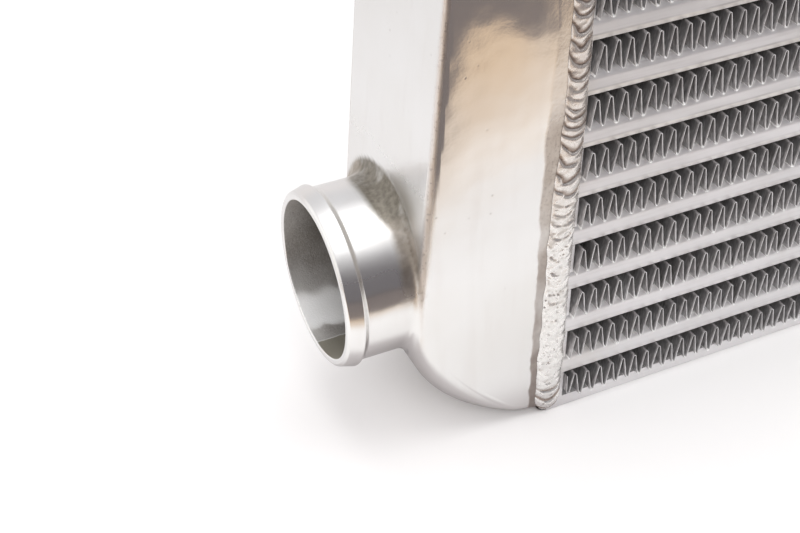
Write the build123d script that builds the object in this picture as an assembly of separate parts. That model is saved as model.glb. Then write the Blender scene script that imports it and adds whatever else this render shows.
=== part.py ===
from build123d import *
import math
import os

# Bar-and-plate charge air cooler, in millimetres. The core stands on its lower side
# plate. X runs along the core from the left tank to the right one, Y goes through the
# core from its front face to its back face, Z is up. The origin is the middle of the base.

# Core: layers stacked in Z, brazed face to face.
open_length = 263.2  # finned face between the closing bars
core_depth = 60.0  # front bars to back bars
charge_rows = 10  # passages for the charge air; there is one more row of air fins
air_passage = 10.7  # height of a row of air fins
charge_bar_height = 6.3
charge_bar_width = 8.0
closing_bar_width = 6.0
parting_sheet = 0.5
side_plate = 4.5
braze_gap = 0.02  # left above and below a folded sheet

# Air fins: plain folded sheet whose folds run through the core and stand proud of it.
fin_sheet = 0.3
fin_pitch = 4.78
fin_end_gap = 0.1
fin_proud = 2.4

# Turbulators: folded sheet along the inside of each charge passage.
turbulator_sheet = 0.3
turbulator_pitch = 7.0
turbulator_side_gap = 0.3

# End tank: one casting with its hose neck. "Run" is measured outwards from the core's end.
tank_wall = 3.0
tank_top_run = 37.8  # run of the end wall at its upper end
tank_lean = 4.3  # degrees that the end wall leans outwards as it goes down
tank_rim_step = 1.1  # top and bottom of the rim stay this far inside the side plates
tank_floor_rise = 10.2  # degrees that the underside climbs away from the core
sweep_radius = 46.0  # lower outer corner, from the underside into the end wall
top_corner_radius = 20.0
tank_edge_radius = 2.0
sweep_edge_radius = 8.0  # the edge swells to this at the middle of the sweep
sweep_edge_fade = 60.0  # radius of the swelling's own arc; nearer the sweep's is longer
sweep_edge_flats = 3  # the swollen edge is turned in this many flats

# Hose neck
neck_height = 59.9  # its axis above the base
neck_length = 22.9  # from the end wall to the mouth, on the axis
neck_inset = 1.5  # its sides stay this far inside the tank's front and back
neck_wall = 2.5
lip_step = 0.9  # the mouth's outside edge is this much smaller in radius
bead_rise = 1.6  # the bead's ridge is this much larger
bead_ridge = 6.0  # from the mouth to the bead's ridge
bead_length = 8.8  # from the mouth to the bead's foot
flare_reach = 5.0  # the neck starts to widen this far outside the end wall
flare_side = 1.4  # how much wider it gets at front and back; less than neck_inset
flare_top = 5.1
flare_bottom = 0.7
flare_depth = 2.5  # it goes on widening this far inside the wall, where the wall leans away
flare_power = 2.0  # how suddenly it widens
flare_steps = 3

# Welds between the tanks and the core
weld_width = 9.4
weld_height = 1.6
weld_end_gap = 0.8
seam_width = 3.5  # fillet welds along the top and the underside
seam_step = 0.2

# Worked out from the sizes above
neck_radius = core_depth / 2 - neck_inset
neck_bore_radius = neck_radius - neck_wall
lip_radius = neck_radius - lip_step
bead_radius = neck_radius + bead_rise
charge_band = charge_bar_height + 2 * parting_sheet
row_step = air_passage + charge_band
core_height = 2 * side_plate + (charge_rows + 1) * air_passage + charge_rows * charge_band
core_length = open_length + 2 * closing_bar_width
core_end = core_length / 2
lean_slope = math.tan(math.radians(tank_lean))
rise_slope = math.tan(math.radians(tank_floor_rise))
tank_top = core_height - tank_rim_step


def block(x_range, y_range, z_range):
    """Box between two corners, given as a pair of values for each axis."""
    low = Vector(x_range[0], y_range[0], z_range[0])
    size = Vector(x_range[1], y_range[1], z_range[1]) - low
    return Pos(*low) * Box(*size, align=Align.MIN)


def through_core(x_range, z_range):
    """Box as deep as the core."""
    return block(x_range, (-core_depth / 2, core_depth / 2), z_range)


def folded_sheet(width, height, pitch, thickness):
    """Cross-section of a sheet folded into V's, centred; as many whole folds as fit."""
    folds = int(width / pitch)
    half = pitch / 2
    # Height of the cut through one slanted wall: rise = thickness / cos(slope), where
    # tan(slope) = (height - rise) / half, solved as a quadratic.
    a = half**2 - thickness**2
    b = 2 * thickness**2 * height
    c = -(thickness**2) * (half**2 + height**2)
    rise = (-b + math.sqrt(b**2 - 4 * a * c)) / (2 * a)
    lower = []
    for k in range(2 * folds + 1):
        y = -height / 2 if k % 2 == 0 else height / 2 - rise
        lower.append((k * half - folds * half, y))
    upper = [(x, y + rise) for x, y in reversed(lower)]
    return make_face(Polyline(*lower, *upper, close=True))


def air_row_floor(row):
    return side_plate + row * row_step


def charge_row_floor(row):
    return side_plate + air_passage + row * row_step


def air_fins(row):
    profile = folded_sheet(
        open_length - 2 * fin_end_gap, air_passage - 2 * braze_gap, fin_pitch, fin_sheet
    )
    depth = core_depth + 2 * fin_proud
    middle = air_row_floor(row) + air_passage / 2
    return extrude(Plane.XZ.offset(-depth / 2) * Pos(0, middle) * profile, depth)


def turbulator(row):
    profile = folded_sheet(
        core_depth - 2 * charge_bar_width - 2 * turbulator_side_gap,
        charge_bar_height - 2 * braze_gap,
        turbulator_pitch,
        turbulator_sheet,
    )
    middle = charge_row_floor(row) + parting_sheet + charge_bar_height / 2
    return extrude(Plane.YZ.offset(-core_end) * Pos(0, middle) * profile, core_length)


def charge_bars(row):
    """Long front and back bars of one charge passage."""
    floor = charge_row_floor(row) + parting_sheet
    z_range = (floor, floor + charge_bar_height)
    front = (-core_depth / 2, charge_bar_width - core_depth / 2)
    bar = block((-core_end, core_end), front, z_range)
    return bar, mirror(bar, Plane.XZ)


def parting_sheets(row):
    """Sheets below and above one charge passage."""
    floor = charge_row_floor(row)
    lower = through_core((-core_end, core_end), (floor, floor + parting_sheet))
    return lower, Pos(0, 0, parting_sheet + charge_bar_height) * lower


def closing_bars(row):
    """Bars that close one air row towards the left and the right tank."""
    floor = air_row_floor(row)
    inner = core_end - closing_bar_width
    bar = through_core((-core_end, -inner), (floor, floor + air_passage))
    return bar, mirror(bar, Plane.YZ)


def end_wall_run(z):
    """Run of the end wall's outside at height z."""
    return tank_top_run + (tank_top - z) * lean_slope


def sweep_corner():
    """Point where the underside and the end wall would meet without the sweep."""
    run = (end_wall_run(0) - tank_rim_step * lean_slope) / (1 + rise_slope * lean_slope)
    return Vector(run, tank_rim_step + run * rise_slope)


def tank_outline(rim_run=0.0):
    """The tank seen from the front, with run to the right, cut off at its rim."""
    corner = sweep_corner()
    outline = make_face(
        Polyline(
            (rim_run, tank_rim_step + rim_run * rise_slope),
            (corner.X, corner.Y),
            (tank_top_run, tank_top),
            (rim_run, tank_top),
            close=True,
        )
    )
    lowest_outer = outline.vertices().sort_by(Axis.X)[-1]
    outline = fillet(lowest_outer, sweep_radius)
    highest_outer = outline.vertices().group_by(Axis.Y)[-1].sort_by(Axis.X)[-1]
    return fillet(highest_outer, top_corner_radius)


def extruded(outline, depth):
    """Outline made into a solid of this depth, centred in Y, with its run along -X."""
    plane = Plane(origin=(-core_end, -depth / 2, 0), x_dir=(-1, 0, 0), z_dir=(0, 1, 0))
    return extrude(plane * outline, depth)


def sweep_edge_cutter():
    """Takes the front edge of the sweep off to a radius that fades towards its ends."""
    corner = sweep_corner()
    down_in = Vector(-1, -rise_slope).normalized()
    up_in = Vector(-lean_slope, 1).normalized()
    inwards = (down_in + up_in).normalized()
    opening = down_in.get_angle(up_in)
    to_corner = sweep_radius / math.sin(math.radians(opening / 2))
    middle = corner + inwards * (to_corner - sweep_radius)
    centre = middle + inwards * sweep_edge_fade
    # Section of the cutter: what flats round a quarter circle leave of a square corner.
    inside = sweep_edge_fade - sweep_edge_radius
    keep = core_depth / 2 - sweep_edge_radius
    half = math.pi / 4 / sweep_edge_flats
    reach = sweep_edge_radius / math.cos(half)
    flats = [(2 * k + 1) * half for k in range(sweep_edge_flats)]
    round_off = [(inside + reach * math.cos(a), keep + reach * math.sin(a)) for a in flats]
    far = (inside + 2 * sweep_edge_radius, keep + 2 * sweep_edge_radius)
    start, end = (inside + sweep_edge_radius, keep), (inside, keep + sweep_edge_radius)
    section = make_face(
        Polyline(start, *round_off, end, (inside, far[1]), far, (far[0], keep), close=True)
    )
    # Turned about Z over the sweep alone, then laid down so that Z points to the front.
    turn = 180 - opening
    towards = math.degrees(math.atan2(-inwards.Y, inwards.X))
    ring = Rot(0, 0, towards - turn / 2) * revolve(Plane.XZ * section, Axis.Z, turn)
    return Pos(-core_end - centre.X, 0, centre.Y) * Rot(90, 0, 0) * ring


def tank_body():
    """Outside of the tank without its neck, solid."""
    body = extruded(tank_outline(), core_depth)
    rim = body.faces().sort_by(Axis.X)[-1]
    sides = body.faces().filter_by(Axis.Y)
    edges = [edge for edge in sides.edges() if edge.center().X < rim.center().X - 0.01]
    body = fillet(edges, tank_edge_radius)
    cutter = sweep_edge_cutter()
    return body - cutter - mirror(cutter, Plane.XZ)


def plenum():
    """Hollow of the tank, running out through the rim."""
    inside = offset(tank_outline(rim_run=-2 * tank_wall), -tank_wall)
    return extruded(inside, core_depth - 2 * tank_wall)


def on_neck_axis(run):
    """Plane across the neck at this run; its X is the row's Y and its Y points up."""
    return Plane(origin=(-core_end - run, 0, neck_height), x_dir=(0, 1, 0), z_dir=(1, 0, 0))


def neck_tube():
    """Tube with its bead, turned about the neck's axis, solid."""
    wall_run = end_wall_run(neck_height)
    profile = make_face(
        Polyline(
            (0, 0),
            (0, lip_radius),
            (bead_ridge, bead_radius),
            (bead_length, neck_radius),
            (neck_length, neck_radius),
            (neck_length, 0),
            close=True,
        )
    )
    tube = revolve(profile, Axis.X)
    return Pos(-core_end - wall_run - neck_length, 0, neck_height) * tube


def neck_flare():
    """Widening of the neck into the end wall, more at its top than at its underside."""
    wall_run = end_wall_run(neck_height)
    sections = []
    for step in range(flare_steps + 1):
        share = step / flare_steps
        grown = share**flare_power
        out = flare_reach - share * (flare_reach + flare_depth)
        section = Pos(0, grown * (flare_top - flare_bottom) / 2) * Ellipse(
            neck_radius + grown * flare_side,
            neck_radius + grown * (flare_top + flare_bottom) / 2,
        )
        sections.append(on_neck_axis(wall_run + out) * section)
    flare = loft(sections, ruled=True)
    return flare + extrude(sections[-1].faces()[0], amount=2 * tank_wall, dir=(1, 0, 0))


def end_tank():
    """Left tank and its hose neck, cast in one."""
    wall_run = end_wall_run(neck_height)
    casting = tank_body() + neck_tube() + neck_flare() - plenum()
    bore_length = neck_length + wall_run / 2
    bore = extrude(on_neck_axis(wall_run + neck_length) * Circle(neck_bore_radius), bore_length)
    return casting - bore


def tank_weld():
    """Weld round the left tank's rim: beads at front and back, fillets top and bottom."""
    half = weld_width / 2
    crown = ThreePointArc((-half, 0), (0, weld_height), (half, 0))
    bead = extrude(make_face(crown + Line((half, 0), (-half, 0))), core_height - 2 * weld_end_gap)
    front = Pos(-core_end, -core_depth / 2, weld_end_gap) * (Rot(0, 0, 180) * bead)
    under = [(0, seam_step), (0, tank_rim_step)]
    under.append((seam_width, tank_rim_step + seam_width * rise_slope))
    over = [(0, core_height - seam_step), (0, tank_top), (seam_width, tank_top)]
    seams = [extruded(make_face(Polyline(*p, close=True)), core_depth) for p in (under, over)]
    return front + mirror(front, Plane.XZ) + seams[0] + seams[1]


def side_plate_at(floor):
    return through_core((-core_end, core_end), (floor, floor + side_plate))


def build():
    """Every piece by name; a pair of like pieces shares one name."""
    pieces = {
        "side_plate_bottom": side_plate_at(0),
        "side_plate_top": side_plate_at(core_height - side_plate),
    }
    for row in range(charge_rows + 1):
        pieces[f"air_fins_{row + 1:02d}"] = air_fins(row)
        pieces[f"closing_bars_{row + 1:02d}"] = Compound(children=closing_bars(row))
    for row in range(charge_rows):
        pieces[f"turbulator_{row + 1:02d}"] = turbulator(row)
        pieces[f"charge_bars_{row + 1:02d}"] = Compound(children=charge_bars(row))
        pieces[f"parting_sheets_{row + 1:02d}"] = Compound(children=parting_sheets(row))
    for name, piece in (("end_tank", end_tank()), ("tank_weld", tank_weld())):
        pieces[f"{name}_left"] = piece
        pieces[f"{name}_right"] = mirror(piece, Plane.YZ)
    return pieces


os.makedirs("parts", exist_ok=True)
for name, piece in build().items():
    export_step(piece, f"parts/{name}.step")
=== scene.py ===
import math

import bmesh
import bpy
import numpy as np
from mathutils import Matrix, Vector


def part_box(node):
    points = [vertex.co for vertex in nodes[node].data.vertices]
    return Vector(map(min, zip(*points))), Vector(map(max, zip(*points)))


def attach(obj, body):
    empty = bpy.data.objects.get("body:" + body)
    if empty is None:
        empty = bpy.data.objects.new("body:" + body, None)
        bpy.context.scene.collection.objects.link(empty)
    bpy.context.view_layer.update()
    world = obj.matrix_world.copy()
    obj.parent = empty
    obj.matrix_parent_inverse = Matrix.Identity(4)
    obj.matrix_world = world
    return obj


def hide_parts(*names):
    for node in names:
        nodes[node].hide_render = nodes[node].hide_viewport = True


# Sizes are in millimetres here and become metres when a mesh is made.
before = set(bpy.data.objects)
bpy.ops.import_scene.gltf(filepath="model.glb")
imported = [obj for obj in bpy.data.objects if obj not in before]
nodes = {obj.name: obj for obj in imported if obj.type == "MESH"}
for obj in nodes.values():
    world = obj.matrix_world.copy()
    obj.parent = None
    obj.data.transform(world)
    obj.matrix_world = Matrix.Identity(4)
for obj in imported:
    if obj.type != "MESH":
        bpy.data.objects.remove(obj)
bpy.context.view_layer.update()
MM = 0.001


def box_mm(node):
    low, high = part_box(node)
    return np.array(low) / MM, np.array(high) / MM


plate_high = box_mm("side_plate_bottom")[1]
CORE_END = plate_high[0]
HALF_DEPTH = plate_high[1]
CORE_TOP = box_mm("side_plate_top")[1][2]
OPEN_END = CORE_END - 6.0  # the rows of fins end where the closing bars begin
AIR_ROWS, CHARGE_ROWS = 11, 10
ROW_PITCH = 18.0
AIR_START = 4.5  # Z of the lowest row of fins
CHARGE_START = 15.2  # Z of the lowest charge row
PARTING_THICK = 0.5
NECK_HEIGHT = 59.9
NECK_RADIUS = 28.5
BORE_RADIUS = 26.0
MOUTH_RUN = box_mm("end_tank_right")[1][0] - CORE_END
TANK_INSET = 1.1  # of the tanks' top and underside from the core's


# ---------------------------------------------------------------- meshes


def new_object(name, vertices, faces, *materials):
    """Smooth mesh object from points in millimetres."""
    mesh = bpy.data.meshes.new(name)
    mesh.from_pydata((np.asarray(vertices, float) * MM).tolist(), [], faces)
    mesh.validate()
    mesh.polygons.foreach_set("use_smooth", [True] * len(mesh.polygons))
    obj = bpy.data.objects.new(name, mesh)
    bpy.context.scene.collection.objects.link(obj)
    for material in materials:
        mesh.materials.append(material)
    return obj


def set_attribute(obj, name, values):
    attribute = obj.data.attributes.new(name, "FLOAT", "POINT")
    attribute.data.foreach_set("value", values.astype(np.float32))


def grid_faces(rows, columns, closed=False, start=0):
    """Quads of a grid of rows by columns points; closed joins the last column to the first."""
    faces = []
    for i in range(rows - 1):
        here, above = start + i * columns, start + (i + 1) * columns
        for j in range(columns if closed else columns - 1):
            k = (j + 1) % columns
            faces.append((here + j, here + k, above + k, above + j))
    return faces


def turned(faces):
    return [tuple(reversed(face)) for face in faces]


def spread(across, along):
    """Two grids of values: one changes from row to row, the other from column to column."""
    rows, columns = len(across), len(along)
    return across[:, None] + np.zeros((1, columns)), along[None, :] + np.zeros((rows, 1))


def wave_noise(seed, low=0.5, high=3.0, count=24):
    """Smooth repeatable noise of two coordinates, as a sum of waves; about -1 to 1."""
    rng = np.random.default_rng(seed)
    angle = rng.uniform(0, 2 * np.pi, count)
    pace = rng.uniform(low, high, count)
    shift = rng.uniform(0, 2 * np.pi, count)

    def value(a, b):
        total = 0
        for t, p, s in zip(angle, pace, shift):
            total = total + np.sin(p * (a * np.cos(t) + b * np.sin(t)) + s)
        return total / math.sqrt(count / 2) / 1.6

    return value


def smooth_step(low, high, x):
    t = np.clip((x - low) / (high - low), 0, 1)
    return t * t * (3 - 2 * t)


# ---------------------------------------------------------------- node trees


class Tree:
    """Short way to build a node tree; a value is a number, a colour or a node's output."""

    def __init__(self, tree, kind, output):
        self.tree = tree
        self.position = self.add(kind).outputs[output]

    def add(self, kind, **settings):
        node = self.tree.nodes.new(kind)
        for key, value in settings.items():
            setattr(node, key, value)
        return node

    def link(self, value, socket):
        if isinstance(value, bpy.types.NodeSocket):
            self.tree.links.new(value, socket)
        elif socket.type == "RGBA":
            socket.default_value = (*value, 1)
        else:
            socket.default_value = value

    def math(self, operation, *values):
        node = self.add("ShaderNodeMath", operation=operation)
        for value, socket in zip(values, node.inputs):
            self.link(value, socket)
        return node.outputs[0]

    def plus(self, a, b):
        return self.math("ADD", a, b)

    def minus(self, a, b):
        return self.math("SUBTRACT", a, b)

    def times(self, a, b):
        return self.math("MULTIPLY", a, b)

    def absolute(self, value):
        return self.math("ABSOLUTE", value)

    def total(self, *terms):
        """Sum of values, each times its weight."""
        weighted = [self.times(value, weight) for value, weight in terms]
        result = weighted[0]
        for term in weighted[1:]:
            result = self.plus(result, term)
        return result

    def split(self):
        """X, Y and Z of the position, in its own unit."""
        node = self.add("ShaderNodeSeparateXYZ")
        self.link(self.position, node.inputs[0])
        return node.outputs

    def noise(self, scale, detail=3.0, stretch=(1, 1, 1)):
        mapping = self.add("ShaderNodeMapping")
        self.link(self.position, mapping.inputs["Vector"])
        mapping.inputs["Scale"].default_value = stretch
        node = self.add("ShaderNodeTexNoise")
        self.link(mapping.outputs[0], node.inputs["Vector"])
        node.inputs["Scale"].default_value = scale
        node.inputs["Detail"].default_value = detail
        return node.outputs["Fac"]

    def between(self, value, low, high, to_low=0.0, to_high=1.0, kind="SMOOTHSTEP"):
        """Change from to_low at low to to_high at high, and no further."""
        node = self.add("ShaderNodeMapRange", interpolation_type=kind)
        if low > high:
            low, high, to_low, to_high = high, low, to_high, to_low
        for i, v in enumerate((value, low, high, to_low, to_high)):
            self.link(v, node.inputs[i])
        return node.outputs[0]

    def straight(self, value, low, high, to_low=0.0, to_high=1.0):
        return self.between(value, low, high, to_low, to_high, "LINEAR")

    def within(self, value, low, high, soft):
        """1 from low to high, fading to 0 over the soft width on both sides."""
        rise = self.between(value, low - soft, low)
        return self.times(rise, self.between(value, high, high + soft, 1.0, 0.0))

    def mix(self, share, a, b):
        node = self.add("ShaderNodeMix", data_type="RGBA")
        for key, value in (("Factor", share), ("A", a), ("B", b)):
            self.link(value, node.inputs[key])
        return node.outputs["Result"]

    def to_camera(self):
        """1 for what the camera sees itself, 0 for light and reflections."""
        return self.add("ShaderNodeLightPath").outputs["Is Camera Ray"]


class Metal(Tree):
    """Material of one kind of metal."""

    def __init__(self, name, metallic=1.0):
        self.material = bpy.data.materials.new(name)
        self.material.use_nodes = True
        super().__init__(self.material.node_tree, "ShaderNodeTexCoord", "Object")
        self.shader = self.tree.nodes["Principled BSDF"].inputs
        self.link(metallic, self.shader["Metallic"])

    def parts(self, axes):
        """The named parts of the position, in millimetres."""
        outputs = self.split()
        return [self.times(outputs[axis], 1 / MM) for axis in axes]

    def attribute(self, name):
        return self.add("ShaderNodeAttribute", attribute_name=name).outputs["Fac"]

    def spots(self, scale, size):
        """1 in small scattered spots, 0 elsewhere."""
        node = self.add("ShaderNodeTexVoronoi")
        self.link(self.position, node.inputs["Vector"])
        node.inputs["Scale"].default_value = scale
        return self.between(node.outputs["Distance"], size, size * 0.4)

    def finish(self, color, roughness, height, bump):
        """Connect the shader; bump is what a height of 1 stands for, in millimetres."""
        self.link(color, self.shader["Base Color"])
        self.link(roughness, self.shader["Roughness"])
        node = self.add("ShaderNodeBump")
        node.inputs["Strength"].default_value = 1.0
        node.inputs["Distance"].default_value = bump * MM
        self.link(height, node.inputs["Height"])
        self.link(node.outputs[0], self.shader["Normal"])
        return self.material


# ---------------------------------------------------------------- materials

# A pair of colours is the two shades that a noise mixes.
POLISHED = (0.855, 0.84, 0.82), (0.885, 0.875, 0.865)
BRUSH_MARK = (0.76, 0.72, 0.69)
PIT = (0.46, 0.42, 0.40)
ETCHED_LOW = (0.25, 0.21, 0.195), (0.50, 0.44, 0.40)
ETCHED_MIDDLE = (0.50, 0.44, 0.39), (0.76, 0.70, 0.64)
ETCHED_HIGH = (0.78, 0.68, 0.56), (0.95, 0.88, 0.77)
ETCH_GRIT = (0.33, 0.28, 0.25)
# worn edges, tinted with a painted reflection of the shaded floor
WORN_AND_REFLECTION = (0.58, 0.47, 0.38), (0.80, 0.71, 0.63)
WORN_SPECK = (0.42, 0.37, 0.34)
# painted shade in the neck's root fillet, on a rough cast skin
SKIN_AND_SHADE_DARK = (0.13, 0.115, 0.09), (0.42, 0.385, 0.33)
SKIN_AND_SHADE_PALE = (0.30, 0.26, 0.22), (0.62, 0.56, 0.49)
BLASTED = (0.58, 0.55, 0.52), (0.78, 0.76, 0.73)
BLAST_GRAIN = (0.82, 0.80, 0.78)
# painted shade deep in the bore
BORE_PAINTED_SHADE = (0.20, 0.18, 0.17)
# painted light low in the bore
BORE_PAINTED_LIGHT = (1.0, 0.995, 0.985)
BORE_MARK = (0.30, 0.26, 0.23)
MOULD_HALF = (0.42, 0.39, 0.31)
MOULD_SEAM = (0.95, 0.94, 0.92)
WELD_LOW = (0.90, 0.875, 0.84), (0.95, 0.935, 0.92)
WELD_HIGH = (0.78, 0.70, 0.64), (0.90, 0.86, 0.82)
WELD_VALLEY = (0.36, 0.29, 0.25)
WELD_SPOT = (0.25, 0.21, 0.19)
MILL_MARK = (0.70, 0.67, 0.66)
BRAZE_PALE = (0.95, 0.92, 0.88)
BRAZE_LINE = (0.45, 0.42, 0.40)
STAIN = (0.70, 0.655, 0.61)
FIN_DULL = (0.37, 0.36, 0.365), (0.48, 0.465, 0.465)
FIN_GRAIN = (0.72, 0.70, 0.70)
FIN_POCK = (0.16, 0.155, 0.155)
# painted shade towards the top of each fin row
FIN_PAINTED_SHADE = (0.17, 0.16, 0.16)
# painted highlight along the lower folds of the fins
FIN_FOLD_HIGHLIGHT = (0.97, 0.96, 0.95)
FIN_CUT = (0.62, 0.60, 0.60), (0.97, 0.955, 0.95)


# Where on the tanks something changes with Z, and from what to what.
WELD_EDGE = (85, 150, CORE_END + 4.9, CORE_END + 2.3)
ETCH_WIDTH = (60, 120, 2.1, 3.0)
ETCH_FAINT = (112, 128, 1.0, 0.3)
SMOOTHER = (95, 120, 1.0, 0.55)
# the painted shade at the neck's root turns paler between these heights
SKIN_AND_SHADE_DOWN = (87.5, 83.0)
HANDLED_X, HANDLED_Z = (CORE_END + 42, CORE_END + 48), (70, 80)
# where the painted shade deep in the bore lies
DEEP_X, DEEP_Z = (CORE_END + 68, CORE_END + 56), (48, 62)
# where the painted light band lies in the bore
LIGHT_BAND_Z, LIGHT_BAND_FRONT, LIGHT_BAND_BACK = (50, 42), (4.0, 8.0), (18.5, 13.5)
# What a bump of height 1 stands for.
CAST_BUMP, BORE_BUMP, WELD_BUMP, BAR_BUMP, FIN_BUMP, CUT_BUMP = 0.28, 0.09, 0.08, 0.05, 0.04, 0.03


def cast_material():
    """Outside of the tanks: cast, ground and polished; dull and etched beside the weld."""
    n = Metal("cast_polished")
    x, z = n.parts("XZ")
    across = n.absolute(x)
    root, edge, inset, swept = [n.attribute(w) for w in ("root", "edge", "inset", "swept")]
    cloud, fine = n.noise(28, 4), n.noise(900, 3)
    brushed = n.noise(260, 4, stretch=(1, 1, 0.12))
    wobble = n.minus(n.noise(110, 5), 0.5)

    color = n.mix(n.between(cloud, 0.35, 0.7), *POLISHED)
    color = n.mix(n.between(brushed, 0.5, 0.8, 0.0, 0.22), color, BRUSH_MARK)
    pits = n.times(n.spots(170, 0.10), n.between(n.noise(18, 2), 0.48, 0.6))
    color = n.mix(n.times(pits, 0.42), color, PIT)

    # the etched band follows the edge of the weld, and is wider, paler and fainter higher up
    past = n.minus(across, n.between(z, *WELD_EDGE))
    past = n.plus(past, n.times(wobble, 2.4))
    etched = n.between(n.math("DIVIDE", past, n.between(z, *ETCH_WIDTH)), 1.2, 0.75)
    etched = n.times(etched, n.between(n.noise(60, 3), 0.25, 0.6, 0.55, 1.0))
    etched = n.times(etched, n.between(z, *ETCH_FAINT))
    grain = n.noise(420, 4)
    etch = n.mix(n.between(z, 40, 95), n.mix(grain, *ETCHED_LOW), n.mix(grain, *ETCHED_MIDDLE))
    etch = n.mix(n.between(z, 130, 165), etch, n.mix(grain, *ETCHED_HIGH))
    etch = n.mix(n.between(n.noise(1200, 3), 0.5, 0.75, 0.0, 0.5), etch, ETCH_GRIT)
    color = n.mix(etched, color, etch)

    # the long edges are tinted tan in patches: wear, and a painted reflection of the shaded floor;
    # the small dark specks are wear
    patches = n.between(n.noise(45, 3), 0.3, 0.6, 0.35, 0.75)
    color = n.mix(n.times(edge, patches), color, n.mix(n.noise(300, 4), *WORN_AND_REFLECTION))
    specks = n.times(n.between(n.noise(900, 2), 0.56, 0.66), n.times(edge, 0.5))
    color = n.mix(specks, color, WORN_SPECK)

    # painted shade in the neck's root fillet, on a rough cast skin: darkest beside the crest of
    # the neck, and paler down its sides
    dark_skin_and_shade = n.mix(n.noise(700, 4), *SKIN_AND_SHADE_DARK)
    pale_skin_and_shade = n.mix(n.noise(500, 4, stretch=(0.4, 1, 1)), *SKIN_AND_SHADE_PALE)
    down = n.between(n.plus(z, n.times(wobble, 8.0)), *SKIN_AND_SHADE_DOWN)
    skin_and_shade = n.times(root, n.between(n.noise(130, 4), 0.25, 0.55, 0.55, 1.0))
    color = n.mix(skin_and_shade, color, n.mix(down, dark_skin_and_shade, pale_skin_and_shade))

    rough = n.plus(n.total((cloud, 0.10), (fine, 0.05), (brushed, 0.06)), 0.07)
    rough = n.times(rough, n.between(z, *SMOOTHER))
    # the neck is dulled by hoses towards its lip, on its upper side
    handled = n.times(n.between(across, *HANDLED_X), n.between(z, *HANDLED_Z))
    rubbed = n.times(edge, n.between(z, 182, 160))
    dulled = n.total((handled, 0.18), (etched, 0.24), (rubbed, 0.30), (skin_and_shade, 0.22))
    rough = n.plus(rough, dulled)

    # a ground ridge runs along the sweep, just inside its edges
    ridge = n.times(n.between(n.absolute(n.plus(inset, -0.6)), 1.1, 0.1), swept)
    dull = n.times(n.math("MAXIMUM", etched, skin_and_shade), n.noise(700, 4))
    waves = n.noise(45, 2)
    height = n.total((waves, 1.0), (fine, 0.018), (ridge, 0.45), (pits, -0.04), (dull, 0.30))
    return n.finish(color, rough, height, CAST_BUMP)


def bore_material():
    """Inside of the castings: shot-blasted, with the mould's seam along the bore."""
    n = Metal("cast_blasted")
    x, y, z = n.parts("XYZ")
    cloud = n.noise(60, 4)
    color = n.mix(n.between(cloud, 0.35, 0.7), *BLASTED)
    color = n.mix(n.between(n.noise(1500, 3), 0.35, 0.75, 0.0, 0.6), color, BLAST_GRAIN)
    # painted shade: darker deeper in the bore and higher up in it
    deep = n.times(n.between(n.absolute(x), *DEEP_X), n.between(z, *DEEP_Z))
    color = n.mix(n.times(deep, 0.55), color, BORE_PAINTED_SHADE)
    # painted light: a bright band low in the bore, behind the seam, where light through the mouth
    # falls
    ragged = n.plus(y, n.between(n.noise(90, 4), 0.2, 0.8, -2.0, 2.0))
    mouth_light = n.times(n.between(z, *LIGHT_BAND_Z), n.between(ragged, *LIGHT_BAND_FRONT))
    mouth_light = n.times(mouth_light, n.between(ragged, *LIGHT_BAND_BACK))
    color = n.mix(mouth_light, color, BORE_PAINTED_LIGHT)
    marks = n.times(n.spots(330, 0.16), n.between(z, 60, 75))
    color = n.mix(n.times(marks, 0.6), color, BORE_MARK)
    # the mould's halves met low in the bore
    aside = n.plus(y, n.between(n.noise(160, 3), 0.2, 0.8, -0.3, 0.3))
    low = n.between(z, 52, 46)
    seam = n.times(n.between(n.absolute(aside), 0.42, 0.22), low)
    front_half = n.times(n.between(aside, 0.3, -0.3), low)
    color = n.mix(n.times(front_half, 0.8), color, MOULD_HALF)
    color = n.mix(seam, color, MOULD_SEAM)
    grains = ((n.noise(2600, 2), 1.0), (n.noise(900, 2), 0.7))
    height = n.total(*grains, (seam, 1.5), (marks, -1.2))
    # the painted light band is also less metallic
    n.link(n.between(mouth_light, 0.0, 1.0, 0.85, 0.0), n.shader["Metallic"])
    return n.finish(color, n.between(cloud, 0.3, 0.7, 0.42, 0.54), height, BORE_BUMP)


def weld_material():
    """Weld beads, bright on their ripples and dark between them; spotted low down."""
    n = Metal("weld", 0.8)
    (z,) = n.parts("Z")
    cloud = n.noise(90, 3)
    ripple = n.mix(n.between(z, 60, 130), n.mix(cloud, *WELD_LOW), n.mix(cloud, *WELD_HIGH))
    color = n.mix(n.between(n.attribute("crest"), 0.0, 0.55), WELD_VALLEY, ripple)
    spots = n.math("MAXIMUM", n.spots(620, 0.14), n.spots(260, 0.13))
    spots = n.times(spots, n.between(z, 100, 75))
    color = n.mix(n.times(spots, 0.8), color, WELD_SPOT)
    height = n.total((n.noise(1300, 3), 1.0), (spots, -2.0))
    rough = n.between(n.noise(500, 3), 0.3, 0.7, 0.20, 0.38)
    return n.finish(color, rough, height, WELD_BUMP)


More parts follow.
